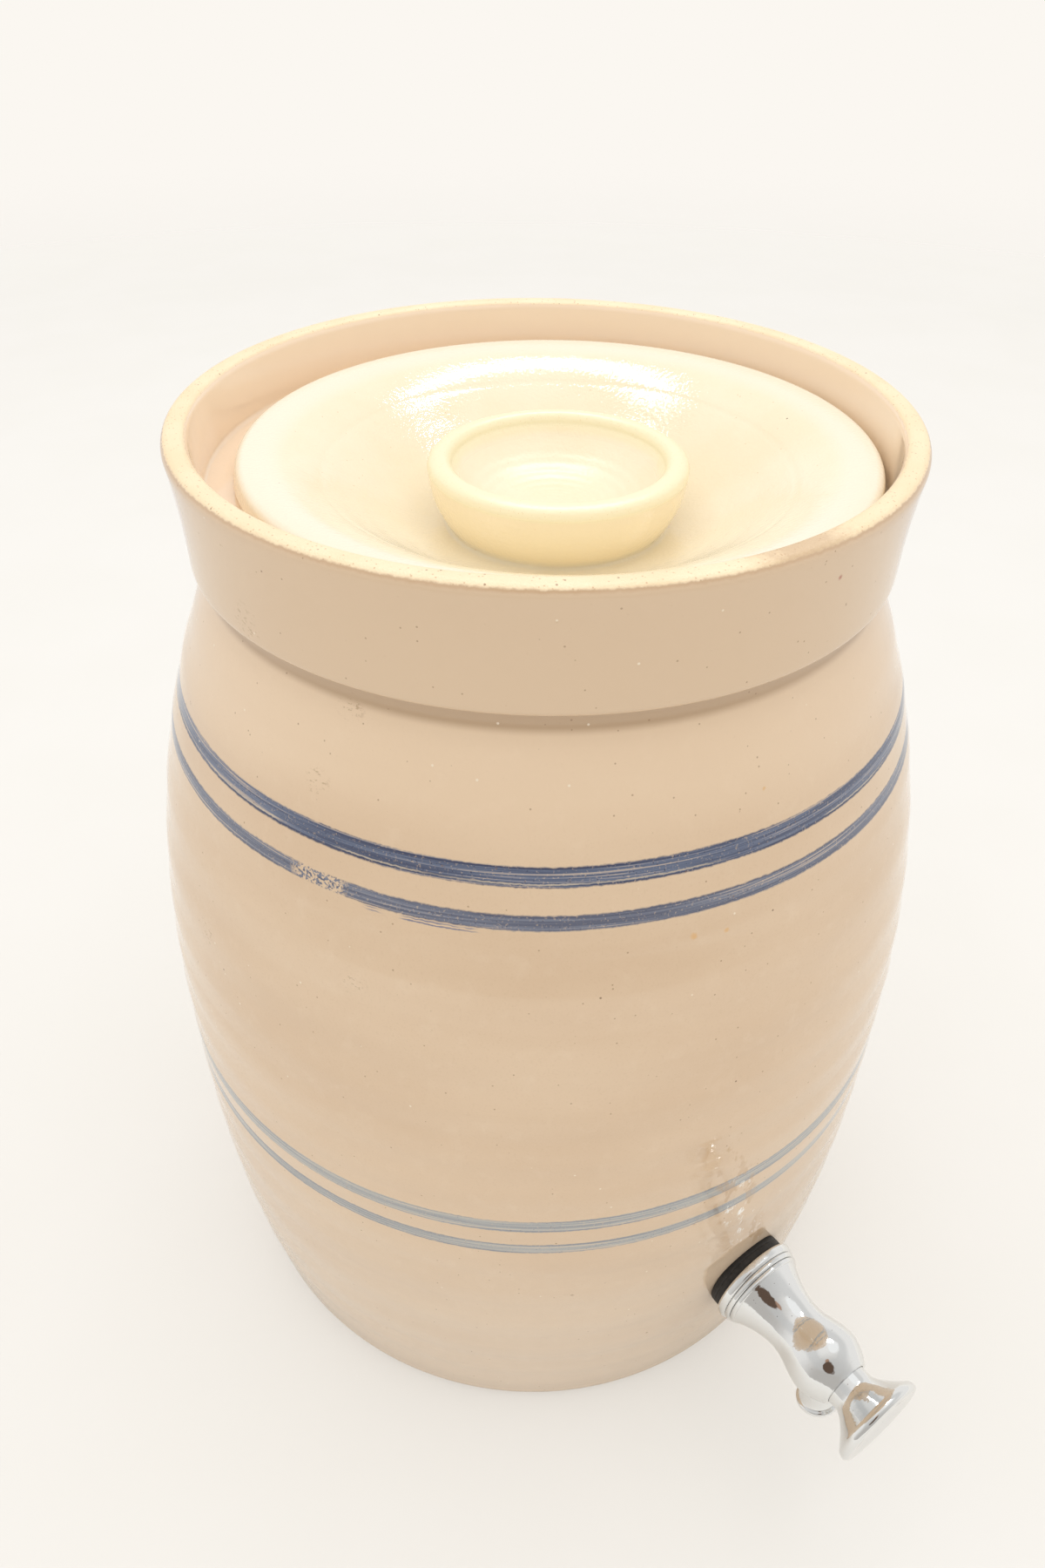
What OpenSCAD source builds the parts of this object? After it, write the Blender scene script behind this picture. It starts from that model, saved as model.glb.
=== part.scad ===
// Stoneware water cooler: a thrown barrel-shaped crock with a collar, a dished
// lid with a hollow ring knob, and a chrome push tap clamped through the wall.
// Millimetres. +Z is up, the origin is the centre of the base on the crock's
// axis, and the tap points along -Y.

/* [Crock] */
// Height from the table to the rim
pot_h = 330; // [260:1:420]
// Largest outer radius, at the belly
belly_r = 127; // [118:0.5:150]
// Height of the belly above the table
belly_z = 140; // [120:1:170]
// Outer radius that the wall runs down to at the foot
foot_r = 115.2; // [108:0.2:125]
// Rounding of the foot's outer edge
foot_round = 6; // [2:0.5:8]
// How late the lower wall turns in, 1 is a straight cone
lower_curve = 2.5; // [1.2:0.1:3]
// How late the shoulder turns in, 1 is a straight cone
upper_curve = 2.3; // [1.4:0.1:3]
// Outer radius of the neck under the collar
neck_r = 97.5; // [85:0.5:108]
// Thickness of the thrown wall
wall = 9; // [7:0.5:14]
// Thickness of the floor
floor_t = 12; // [8:0.5:18]
// Inside radius between the floor and the wall
floor_round = 18; // [8:1:30]

/* [Collar and ledge] */
// Height of the collar, from its lower lip to the rim
collar_h = 34.6; // [26:0.2:45]
// How far the collar's lower lip stands out past the neck
collar_step = 3.5; // [2.5:0.1:7]
// How far the collar flares outward between its lower lip and the rim
collar_flare = 2.3; // [0:0.1:5]
// How far the collar's face is drawn in at mid height
collar_hollow = 0.6; // [0:0.1:1.5]
// Depth of the groove between the shoulder and the collar's lower lip
neck_h = 5.4; // [4:0.2:9]
// Thickness of the rim
rim_t = 7; // [6:0.2:10]
// Depth of the lid's ledge below the rim
rim_depth = 17; // [12:0.5:22]
// How much the collar narrows inside, from the rim down to the ledge
rim_draft = 1.4; // [0:0.1:3]
// Width of the ledge that carries the lid
ledge_w = 12; // [9:0.5:16]
// Thickness of the ledge at its inner edge
ledge_t = 9; // [6:0.5:12]

/* [Lid] */
// Radial play between the lid's edge and the collar
lid_play = 4.8; // [2:0.1:6]
// Gap left on the side towards which the loose lid has slid
lid_side_gap = 0.8; // [0.4:0.1:2]
// Direction in which it has slid, counted from +X
lid_shift_turn = -38; // [-180:1:180]
// Thickness of the lid's edge
lid_edge_t = 7; // [5:0.2:10]
// Width of the level band inside the lid's edge
band_w = 4; // [3.5:0.5:12]
// Thickness of the dished middle
lid_t = 8; // [6:0.5:11]
// Depth of the dish below the lid's edge
dish_depth = 24; // [10:0.5:30]

/* [Knob] */
// Outer radius of the knob's lip
knob_r = 37; // [32:0.5:42]
// Radius of the knob's foot
knob_foot_r = 31.5; // [27:0.5:32]
// Height of the knob above the dish
knob_h = 20; // [14:0.1:24]
// Width of the knob's rounded lip
knob_lip = 6.6; // [6:0.2:9]
// Depth of the hollow in the knob
knob_hollow = 15; // [9:0.2:17]

/* [Tap] */
// Height at which the tap's axis meets the wall
tap_z = 62; // [45:1:90]
// How far the tap droops below level, degrees
tap_droop = 4; // [0:0.5:8]
// Radius of the hole through the crock
tap_hole_r = 8.9; // [8.4:0.1:10]
// Outer radius of the threaded shank
shank_r = 7.9; // [7.4:0.1:8.2]
// Radius of the waterway through the shank
shank_bore_r = 5.6; // [5.2:0.1:6]
// Radius of the flange that bears on the outer gasket
flange_r = 16.3; // [15.6:0.1:18]
// Thickness of the flange
flange_t = 3.2; // [2.4:0.1:4]
// Thickness of each of the two beads above the flange
bead_t = 1.7; // [1.2:0.1:2.2]
// How much smaller each bead is than the step below it
bead_step = 0.7; // [0.4:0.1:1]
// Radius of the waist
waist_r = 9.8; // [9.2:0.1:11]
// Distance of the waist from the crock's wall
waist_s = 25; // [22:0.5:28]
// Radius of the bulb
bulb_r = 12.6; // [11.5:0.1:15]
// Distance of the bulb's widest point from the crock's wall
bulb_s = 39; // [36:0.5:41]
// Outer radius of the mouth that the push button slides in
mouth_r = 9.2; // [8.8:0.1:10.5]
// Distance of the mouth's end from the crock's wall
mouth_s = 48; // [47.5:0.1:52]
// Radius of the waterway between the seat and the spout
chamber_r = 6.5; // [6:0.1:6.8]

/* [Spout] */
// Distance from the wall at which the spout's axis leaves the tap's axis
spout_s = 34.8; // [33:0.1:35]
// How far the spout leans away from the crock, degrees
spout_lean = 18; // [8:1:20]
// Length of the spout from the tap's axis to its tip
spout_len = 25; // [20:0.5:34]
// Outer radius of the spout
spout_r = 6.1; // [5.4:0.1:6.6]
// Radius of the bore in the spout
spout_bore_r = 3.9; // [3.2:0.1:4.1]
// Radius of the bead round the spout's tip
lip_bead_r = 1.1; // [0.7:0.1:1.4]

/* [Push button] */
// Distance from the tap's mouth to the button's front rim
button_len = 15.5; // [14.5:0.1:20]
// Outer radius of the trumpet-shaped front
button_r = 16.3; // [14:0.1:19]
// Outer radius of the button's neck
button_neck_r = 7.7; // [7.4:0.1:7.9]
// Wall of the hollow neck
button_wall = 1.3; // [1.1:0.1:1.5]
// Length of straight neck that shows outside the mouth
neck_show = 3.4; // [3.3:0.1:5]
// Thickness of the rounded front rim
button_rim = 3.2; // [2.4:0.1:4]
// Depth of the dish in the front face
button_dish = 1.6; // [0.8:0.1:2]
// How far the button can be pressed
travel = 3; // [2:0.1:3]

/* [Valve] */
// Radius of the stem
stem_r = 1.8; // [1.6:0.1:2]
// Radius of the stem's end that carries the disc and its clip
stem_tip_r = 1.2; // [1:0.1:1.3]
// Distance of the valve seat's sealing face from the crock's wall
seat_s = 14; // [13:0.5:16]
// Thickness of the web that holds the seat
seat_t = 2; // [1.5:0.1:3]
// Radius of the orifice in the seat
orifice_r = 3.6; // [3.2:0.1:3.9]
// Radius of the rubber disc
disc_r = 4.7; // [4.5:0.1:4.9]
// Thickness of the rubber disc
disc_t = 2.5; // [2:0.1:3]
// Thickness of the gland's plate
gland_t = 1.9; // [1.6:0.1:2]
// Height of the gland's boss above its plate
gland_boss_h = 3; // [2.6:0.1:3.4]
// Outer radius of the gland's boss
gland_boss_r = 4.4; // [4.2:0.1:4.5]
// Thickness of the O-ring on the stem
o_ring_t = 1.5; // [1.2:0.1:1.7]
// Wire diameter of the return spring
wire = 0.8; // [0.5:0.05:0.9]
// Number of coils in the return spring
coils = 5; // [4:1:6]

/* [Fastening] */
// Outer radius of the outer gasket
gasket_r = 15; // [14.4:0.1:15.6]
// Thickness of the outer gasket
gasket_t = 4.5; // [3:0.1:6]
// Outer radius of the inner gasket
inner_gasket_r = 14; // [13:0.1:15]
// Thickness of the inner gasket
inner_gasket_t = 3; // [2:0.1:4]
// Outer radius of the clamp washer
washer_r = 13; // [12:0.1:14]
// Thickness of the clamp washer
washer_t = 1.5; // [1:0.1:2.5]
// Width of the lock nut across its flats
nut_flats = 24; // [22:0.5:26]
// Thickness of the lock nut
nut_t = 8; // [6:0.5:10]
// How far the shank stands out past the lock nut
shank_end = 2.5; // [1:0.5:5]

/* [Hidden] */
$fn = 120;

// Clearances
seat_gap = 0.3;      // lid to ledge
slide_gap = 0.2;     // button neck in the mouth
fit_gap = 0.05;      // pieces that are pushed together by hand
stem_gap = 0.08;     // stem in the gland
thread_gap = 0.15;   // nut and washers on the shank, whose thread is left plain
valve_gap = 0.1;     // disc to seat, so that the two only just meet
cut = 1;             // how far a cutting solid runs past what it cuts

// Crock
collar_z = pot_h - collar_h;
neck_z = collar_z - neck_h;
collar_low_r = neck_r + collar_step;
rim_r = collar_low_r + collar_flare;
lip_round = 2;
rim_round = 2.6;
ledge_round = 1.8;
rim_in_r = rim_r - rim_t;
gallery_r = rim_in_r - rim_draft;
ledge_z = pot_h - rim_depth;
ledge_r = gallery_r - ledge_w;
wall_steps = 20;

// Lid
lid_r = gallery_r - lid_play;
lid_z = ledge_z + seat_gap;
lid_top = lid_z + lid_edge_t;
plug_r = ledge_r - lid_play;
lid_shift = lid_play - lid_side_gap;
plug_round = 4;
edge_round = 2.6;
dish_z = lid_top - dish_depth;
dish_out_r = lid_r - band_w;
dish_in_r = knob_foot_r + 0.8;
dish_steps = 16;

// Knob
knob_top = dish_z + knob_h;
knob_edge_z = knob_top - 2.7;
knob_curve = 2.2;
knob_in_r = knob_r - knob_lip;
hollow_z = knob_top - knob_hollow;
hollow_curve = 3.6;

// Tap, measured along its own axis from the flat on the crock's wall
flat_depth = wall_r(tap_z) - sqrt(pow(wall_r(tap_z), 2) - pow(gasket_r, 2));
flat_y = wall_r(tap_z) - flat_depth;
grip = wall - flat_depth - 0.2;
shank_s = -(grip + inner_gasket_t + washer_t + nut_t + shank_end);
bead_1_s = gasket_t + flange_t;
bead_2_s = bead_1_s + bead_t;
bell_s = bead_2_s + bead_t;
bell_r = flange_r - 3 * bead_step;
bead_groove = 0.5;
bead_round = 0.3;
mouth_bore_r = button_neck_r + slide_gap;
neck_in_s = mouth_s - 1.2;
gland_top_s = neck_in_s - travel - 0.3;
gland_s = gland_top_s - gland_t;
gland_r = mouth_bore_r - fit_gap;
seal_s = gland_top_s + 0.4;
spout_tip_r = spout_r + lip_bead_r;

// Button
button_s = mouth_s + button_len;
button_bore_r = button_neck_r - button_wall;
flare_s = mouth_s + neck_show;
flare_end_s = button_s - button_rim;
flare_curve = 1.45;
rim_turn = 0.5;      // how far the flare stops short of the rim's full radius
rim_flat = 1.6;      // width of the rim's rounding, seen from the front
web_s = flare_s + 3.2;
stem_end_s = web_s + 4;

// Valve, closed
disc_s = seat_s - valve_gap - disc_t;
clip_t = 0.8;
clip_r = 3.2;
stem_tip_s = disc_s - clip_t - 0.7;
spring_r = (gland_boss_r + button_bore_r) / 2;

// Eased step from 0 to 1, level at both ends
function ease(t) = (1 - cos(180 * t)) / 2;

// Value at t between a and b
function mix(a, b, t) = a + (b - a) * t;

// Points on part of an ellipse round c, from angle a0 to a1
function oval(c, rx, ry, a0, a1, n = 8) =
    [for (i = [0 : n]) c + [rx * cos(mix(a0, a1, i / n)), ry * sin(mix(a0, a1, i / n))]];

// Points on part of a circle round c
function arc(c, r, a0, a1, n = 8) = oval(c, r, r, a0, a1, n);

// Outer radius of the crock's wall at height z, from the foot to the neck
function wall_r(z) =
    z < belly_z
        ? belly_r - (belly_r - foot_r) * pow((belly_z - z) / belly_z, lower_curve)
        : belly_r - (belly_r - neck_r) * pow((z - belly_z) / (neck_z - belly_z), upper_curve);

// Height of the lid's upper face at radius r, between the knob's foot and the band
function dish_face(r) = lid_top - dish_depth * ease((dish_out_r - r) / (dish_out_r - dish_in_r));

// Moves children from the tap's own frame to the crock: +Z along the tap, +Y up
module at_tap() {
    translate([0, -flat_y, tap_z]) rotate([90 + tap_droop, 0, 0]) children();
}

// Solid of revolution on the tap's axis, from s0 to s1
module tube(s0, s1, r_out, r_in) {
    translate([0, 0, s0]) difference() {
        cylinder(h = s1 - s0, r = r_out);
        translate([0, 0, -cut]) cylinder(h = s1 - s0 + 2 * cut, r = r_in);
    }
}

// Outline of the crock's clay, from the middle of the base round the outside and back inside
function crock_outline() =
    let (
        foot_c = [wall_r(foot_round) - foot_round, foot_round],
        lip_c = [collar_low_r - lip_round, collar_z + lip_round],
        rim_out_c = [rim_r - rim_round, pot_h - rim_round],
        rim_in_c = [rim_in_r + rim_round, pot_h - rim_round],
        ledge_c = [ledge_r + ledge_round, ledge_z - ledge_round],
        floor_z = floor_t + floor_round,
        floor_c = [wall_r(floor_z) - wall - floor_round, floor_z],
        ledge_low_z = ledge_z - ledge_t
    )
    concat(
        [[0, 0]],
        arc(foot_c, foot_round, -90, 0),
        [for (i = [1 : wall_steps]) let (z = mix(foot_round, neck_z, i / wall_steps)) [wall_r(z), z]],
        [[neck_r, collar_z - lip_round], [neck_r + 0.6, collar_z]],
        arc(lip_c, lip_round, -90, 0),
        [for (i = [1 : 7]) let (t = i / 8)
            [mix(collar_low_r, rim_r, t) - collar_hollow * sin(180 * t),
             mix(collar_z + lip_round, pot_h - rim_round, t)]],
        arc(rim_out_c, rim_round, 0, 90),
        arc(rim_in_c, rim_round, 90, 180),
        [[gallery_r, ledge_z]],
        arc(ledge_c, ledge_round, 90, 180),
        [for (i = [0 : 6]) let (t = i / 6)
            [mix(ledge_r, wall_r(neck_z) - wall, ease(t)), mix(ledge_low_z, neck_z, t)]],
        [for (i = [1 : wall_steps]) let (z = mix(neck_z, floor_z, i / wall_steps)) [wall_r(z) - wall, z]],
        arc(floor_c, floor_round, 0, -90),
        [[0, floor_t]]
    );

module crock() {
    color([0.86, 0.76, 0.65]) difference() {
        rotate_extrude() polygon(crock_outline());
        at_tap() {
            // Hole for the shank
            translate([0, 0, -3 * wall]) cylinder(h = 6 * wall, r = tap_hole_r);
            // Flat for the outer gasket
            cylinder(h = wall, r = gasket_r + 0.5);
            // Flat for the inner gasket
            translate([0, 0, -grip - wall]) cylinder(h = wall, r = inner_gasket_r + 0.8);
        }
    }
}

// Outline of the lid: underside, edge, dish, knob and the hollow in the knob
function lid_outline() =
    concat(
        [[0, dish_z - lid_t]],
        [for (i = [0 : dish_steps])
            let (r = mix(dish_in_r, plug_r - plug_round, i / dish_steps)) [r, dish_face(r) - lid_t]],
        [[plug_r, lid_z]],
        arc([lid_r - edge_round, lid_z + edge_round], edge_round, -90, 0),
        arc([lid_r - edge_round - 0.6, lid_top - edge_round], edge_round, 0, 90),
        [for (i = [0 : dish_steps])
            let (r = mix(dish_out_r, dish_in_r, i / dish_steps)) [r, dish_face(r)]],
        [for (i = [0 : 10]) let (t = i / 10)
            [mix(knob_r, knob_foot_r, pow(1 - t, knob_curve)), mix(dish_z + 1, knob_edge_z, t)]],
        oval([knob_r - knob_lip * 0.62, knob_edge_z + 0.4], knob_lip * 0.6, knob_top - knob_edge_z - 0.4, 0, 90),
        oval([knob_r - knob_lip * 0.62, knob_edge_z - 0.2], knob_lip * 0.38, knob_top - knob_edge_z + 0.2, 100, 180),
        [for (i = [1 : 12]) let (t = 1 - i / 12)
            [knob_in_r * t, mix(hollow_z, knob_edge_z - 0.2, pow(t, hollow_curve))]]
    );

module lid() {
    color([0.95, 0.89, 0.78])
        translate([lid_shift * cos(lid_shift_turn), lid_shift * sin(lid_shift_turn), 0])
            rotate_extrude() polygon(lid_outline());
}

module outer_gasket() {
    color([0.13, 0.12, 0.11]) at_tap() tube(0, gasket_t, gasket_r, shank_r + thread_gap);
}

// One step of the turned flange, of thickness t from s, with rounded corners and a groove below
function bead(s, t, r) =
    let (c = bead_round * t)
    concat([[r - bead_groove - c, s]], arc([r - c, s + c], c, -90, 0, 5), arc([r - c, s + t - c], c, 0, 90, 5));

// Outside of the tap, from the shank's inner end to the mouth
function tap_outline() =
    concat(
        [[0, shank_s], [shank_r - 0.8, shank_s], [shank_r, shank_s + 0.8], [shank_r, gasket_t]],
        bead(gasket_t, flange_t, flange_r),
        bead(bead_1_s, bead_t, flange_r - bead_step),
        bead(bead_2_s, bead_t, flange_r - 2 * bead_step),
        [for (i = [0 : 12]) let (t = i / 12)
            [mix(waist_r, bell_r, pow(1 - t, 1.8)), mix(bell_s, waist_s, t)]],
        [for (i = [1 : 12]) let (t = i / 12) [mix(waist_r, bulb_r, ease(t)), mix(waist_s, bulb_s, t)]],
        [for (i = [1 : 10]) let (t = i / 10)
            [mix(mouth_r, bulb_r, cos(90 * t)), mix(bulb_s, mouth_s - 0.3, t)]],
        [[mouth_r - 0.3, mouth_s], [0, mouth_s]]
    );

// Moves children to the spout: +Z down the spout from the tap's axis
module at_spout() {
    translate([0, 0, spout_s]) rotate([90 - spout_lean, 0, 0]) children();
}

module tap_body() {
    color([0.78, 0.79, 0.80]) at_tap() difference() {
        union() {
            rotate_extrude() polygon(tap_outline());
            at_spout() {
                cylinder(h = spout_len, r = spout_r);
                translate([0, 0, spout_len - lip_bead_r]) rotate_extrude()
                    translate([spout_r, 0]) circle(r = lip_bead_r, $fn = 24);
            }
        }
        // Waterway: shank, orifice in the seat, chamber, and the mouth for gland and button
        translate([0, 0, shank_s - cut]) cylinder(h = seat_s - shank_s + cut, r = shank_bore_r);
        translate([0, 0, seat_s - cut]) cylinder(h = seat_t + 2 * cut, r = orifice_r);
        translate([0, 0, seat_s + seat_t]) cylinder(h = gland_s - seat_s - seat_t + cut, r = chamber_r);
        translate([0, 0, gland_s]) cylinder(h = mouth_s - gland_s + cut, r = mouth_bore_r);
        at_spout() cylinder(h = spout_len + cut, r = spout_bore_r);
    }
}

// Plate and boss that guide the stem, with a groove for the O-ring
module gland() {
    color([0.90, 0.90, 0.88]) at_tap() difference() {
        union() {
            translate([0, 0, gland_s]) cylinder(h = gland_t, r = gland_r);
            translate([0, 0, gland_s]) cylinder(h = gland_t + gland_boss_h, r = gland_boss_r);
        }
        translate([0, 0, gland_s - cut]) cylinder(h = gland_t + gland_boss_h + 2 * cut, r = stem_r + stem_gap);
        translate([0, 0, seal_s - fit_gap])
            cylinder(h = o_ring_t + 2 * fit_gap, r = stem_r + stem_gap + o_ring_t + fit_gap);
    }
}

module stem_seal() {
    color([0.10, 0.10, 0.10]) at_tap() translate([0, 0, seal_s + o_ring_t / 2]) rotate_extrude()
        translate([stem_r + stem_gap + o_ring_t / 2, 0]) circle(r = o_ring_t / 2, $fn = 24);
}

module valve_stem() {
    color([0.72, 0.73, 0.74]) at_tap() {
        translate([0, 0, stem_tip_s]) cylinder(h = disc_s + disc_t - stem_tip_s, r = stem_tip_r);
        translate([0, 0, disc_s + disc_t]) cylinder(h = stem_end_s - disc_s - disc_t, r = stem_r);
    }
}

module valve_disc() {
    color([0.16, 0.15, 0.15]) at_tap() tube(disc_s, disc_s + disc_t, disc_r, stem_tip_r);
}

module disc_clip() {
    color([0.70, 0.70, 0.72]) at_tap() tube(disc_s - clip_t, disc_s, clip_r, stem_tip_r);
}

// Unbroken coil of round wire along the tap's axis, between the gland and the button's web
module return_spring() {
    sides = 6;
    per_turn = 16;
    rings = coils * per_turn;
    s0 = gland_top_s + wire / 2 + fit_gap;
    s1 = web_s - wire / 2 - fit_gap;
    points = [
        for (i = [0 : rings], j = [0 : sides - 1])
            let (a = 360 * i / per_turn, b = 360 * j / sides, r = spring_r + wire / 2 * cos(b))
            [r * cos(a), r * sin(a), mix(s0, s1, i / rings) + wire / 2 * sin(b)]
    ];
    skin = [
        for (i = [0 : rings - 1], j = [0 : sides - 1], k = [0, 1])
            let (a = i * sides + j, b = i * sides + (j + 1) % sides)
            k == 0 ? [a, b, b + sides] : [a, b + sides, a + sides]
    ];
    caps = [
        for (j = [1 : sides - 2], k = [0, 1])
            let (e = rings * sides)
            k == 0 ? [0, j + 1, j] : [e, e + j, e + j + 1]
    ];
    color([0.62, 0.63, 0.65]) at_tap() polyhedron(points = points, faces = concat(skin, caps));
}

// Outline of the button: hollow neck, flare, rounded rim and dished face
function button_outline() =
    concat(
        [[button_bore_r, neck_in_s], [button_neck_r, neck_in_s]],
        [for (i = [0 : 12]) let (t = i / 12)
            [mix(button_neck_r, button_r - rim_turn, pow(t, flare_curve)), mix(flare_s, flare_end_s, t)]],
        oval([button_r - rim_flat, (flare_end_s + button_s) / 2], rim_flat, button_rim / 2, -30, 90),
        [for (i = [1 : 8]) let (t = i / 8)
            [(button_r - rim_flat) * (1 - t), button_s - button_dish * ease(t)]],
        [[0, web_s], [button_bore_r, web_s]]
    );

module push_button() {
    color([0.80, 0.81, 0.82]) at_tap() difference() {
        rotate_extrude() polygon(button_outline());
        // Blind hole for the stem's end
        translate([0, 0, web_s - cut]) cylinder(h = stem_end_s - web_s + cut, r = stem_r);
    }
}

module inner_gasket() {
    color([0.13, 0.12, 0.11]) at_tap()
        tube(-grip - inner_gasket_t, -grip, inner_gasket_r, shank_r + thread_gap);
}

module clamp_washer() {
    color([0.68, 0.69, 0.70]) at_tap()
        tube(-grip - inner_gasket_t - washer_t, -grip - inner_gasket_t, washer_r, shank_r + thread_gap);
}

// Hexagon nut with its corners turned off
module lock_nut() {
    nut_s = -grip - inner_gasket_t - washer_t - nut_t;
    corner_r = nut_flats / 2 / cos(30);
    turned = corner_r - nut_flats / 2;
    color([0.90, 0.90, 0.88]) at_tap() translate([0, 0, nut_s]) difference() {
        intersection() {
            cylinder(h = nut_t, r = corner_r, $fn = 6);
            rotate_extrude() polygon([
                [0, 0], [nut_flats / 2, 0], [corner_r, turned],
                [corner_r, nut_t - turned], [nut_flats / 2, nut_t], [0, nut_t]
            ]);
        }
        translate([0, 0, -cut]) cylinder(h = nut_t + 2 * cut, r = shank_r + thread_gap);
    }
}

crock();
lid();
outer_gasket();
tap_body();
gland();
stem_seal();
valve_stem();
valve_disc();
disc_clip();
return_spring();
push_button();
inner_gasket();
clamp_washer();
lock_nut();
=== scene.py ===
"""Stoneware water cooler with a push tap, dressed for rendering.

A thrown crock with four brushed blue bands, a dished lid with a ring knob, and a chrome push tap
clamped low through the wall. Profiles are in millimetres, as in the part's source, and become
metres when a mesh is made; materials read Object coordinates, in metres.
"""

import math

import bpy
import numpy as np
from mathutils import Matrix, Vector


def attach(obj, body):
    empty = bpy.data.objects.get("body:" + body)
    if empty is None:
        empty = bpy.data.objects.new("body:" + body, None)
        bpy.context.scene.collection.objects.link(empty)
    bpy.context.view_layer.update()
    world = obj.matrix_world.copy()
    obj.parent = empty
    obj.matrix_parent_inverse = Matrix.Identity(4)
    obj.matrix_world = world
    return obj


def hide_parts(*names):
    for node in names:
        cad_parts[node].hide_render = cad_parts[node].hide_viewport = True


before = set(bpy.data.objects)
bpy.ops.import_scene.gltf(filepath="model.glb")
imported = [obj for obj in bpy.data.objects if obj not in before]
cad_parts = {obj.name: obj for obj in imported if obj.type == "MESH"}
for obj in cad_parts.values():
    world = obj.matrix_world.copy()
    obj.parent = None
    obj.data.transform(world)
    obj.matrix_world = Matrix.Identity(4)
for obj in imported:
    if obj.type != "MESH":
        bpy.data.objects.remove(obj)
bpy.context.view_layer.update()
scene = bpy.context.scene

# ---------------------------------------------------------------------------------------------
# The view. The camera looks down on the crock at 38 degrees from its front left, so that the
# tap stands at the lower right, through a 27 mm lens on a frame 36 mm tall. Its angles and
# place were solved from the photograph's rim, stripes and outline.
# ---------------------------------------------------------------------------------------------
heading = math.radians(37.6)
pitch, yaw, roll = 0.66569703, -0.01602297, 0.01125884
eye = Vector((0, -0.31865, 0.44778))
lens_mm, frame_mm = 27, 36

ahead = Vector(
    (math.sin(yaw) * math.cos(pitch), math.cos(yaw) * math.cos(pitch), -math.sin(pitch))
)
across = Vector((math.cos(yaw), -math.sin(yaw), 0))
above = across.cross(ahead)
right = math.cos(roll) * across + math.sin(roll) * above
upward = -math.sin(roll) * across + math.cos(roll) * above
round_pot = Matrix.Rotation(-heading, 3, "Z")

camera = bpy.data.objects.new("camera", bpy.data.cameras.new("camera"))
camera.data.lens = lens_mm
camera.data.sensor_width = frame_mm
camera.data.clip_start = 0.01
camera.matrix_world = (
    Matrix.Translation(round_pot @ eye)
    @ (round_pot @ Matrix((right, upward, -ahead)).transposed()).to_4x4()
)
scene.collection.objects.link(camera)
scene.camera = camera
scene.view_settings.view_transform = "Standard"


# ---------------------------------------------------------------------------------------------
# The studio: a matte white table, even white light from all round with a wide soft lamp
# overhead, and a room that the glaze and the chrome mirror: white walls that dim on the
# photographer's side, a grey ring below the ceiling with a white patch in it, and the
# photographer as two darker discs, a hand held up and a body.
# ---------------------------------------------------------------------------------------------
class Shade:
    """A socket in a node tree, written like a number: each operator adds a Math node."""

    def __init__(self, socket):
        self.socket = socket

    def node(self, kind, settings, fill, outlet=0):
        """Adds a node, sets it, fills its sockets by name or number, and gives one outlet."""
        tree = self.socket.id_data
        new = tree.nodes.new("ShaderNode" + kind)
        for name, value in settings.items():
            setattr(new, name, value)
        for name, value in fill.items():
            if isinstance(value, Shade):
                tree.links.new(value.socket, new.inputs[name])
            else:
                new.inputs[name].default_value = value
        return Shade(new.outputs[outlet])

    def sum(self, operation, *terms):
        return self.node("Math", {"operation": operation}, dict(enumerate(terms)))

    def __add__(self, other):
        return self.sum("ADD", self, other)

    def __sub__(self, other):
        return self.sum("SUBTRACT", self, other)

    def __rsub__(self, other):
        return self.sum("SUBTRACT", other, self)

    def __mul__(self, other):
        return self.sum("MULTIPLY", self, other)

    def __abs__(self):
        return self.sum("ABSOLUTE", self)

    __radd__ = __add__
    __rmul__ = __mul__

    def most(self, other):
        return self.sum("MAXIMUM", self, other)

    def rise(self, low, high):
        """Eased step: 0 at low and 1 at high, also where low is the larger of the two."""
        eased = {"interpolation_type": "SMOOTHSTEP"}
        return self.node("MapRange", eased, {0: self, 1: low, 2: high})

    def mix(self, under, over):
        """This amount of the colour over, on the colour under."""
        return self.node("Mix", {"data_type": "RGBA"}, {0: self, 6: under, 7: over}, 2)

    def stretch(self, x, y, z):
        """This vector with each axis scaled, so that a pattern on it is drawn out."""
        return self.node("VectorMath", {"operation": "MULTIPLY"}, {0: self, 1: (x, y, z)})

    def axis(self, name):
        return self.node("SeparateXYZ", {}, {0: self}, "XYZ".index(name))

    def away(self, point):
        """Distance of this vector from a point."""
        return self.node("VectorMath", {"operation": "DISTANCE"}, {0: self, 1: point}, 1)

    def noise(self, scale, detail=2.0, roughness=0.5):
        """Smooth random value from 0 to 1, about 0.5 on average."""
        fill = {"Vector": self, "Scale": scale, "Detail": detail, "Roughness": roughness}
        return self.node("TexNoise", {}, fill)

    def grains(self, scale, size, share):
        """Round grains in a share of the cells of a random grid; size is a share of a cell."""
        near = self.node("TexVoronoi", {}, {"Vector": self, "Scale": scale})
        cell = Shade(near.socket.node.outputs["Color"])
        pick = cell.node("SeparateColor", {}, {0: cell})
        return near.rise(size, size * 0.5) * pick.rise(share, share * 0.9)

    def bump(self, height, normal=None):
        """Normal of a surface raised by this much of a height in metres, on another normal."""
        fill = {"Height": self, "Distance": height, "Strength": 1.0}
        if normal:
            fill["Normal"] = normal
        return self.node("Bump", {}, fill)

    def feed(self, shader, name):
        self.socket.id_data.links.new(self.socket, shader.inputs[name])


def tone(red, green, blue):
    """Colour for a socket from 0 to 255 screen values."""
    screen = np.array([red, green, blue]) / 255
    linear = np.where(screen <= 0.04045, screen / 12.92, ((screen + 0.055) / 1.055) ** 2.4)
    return (*linear.tolist(), 1.0)


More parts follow.
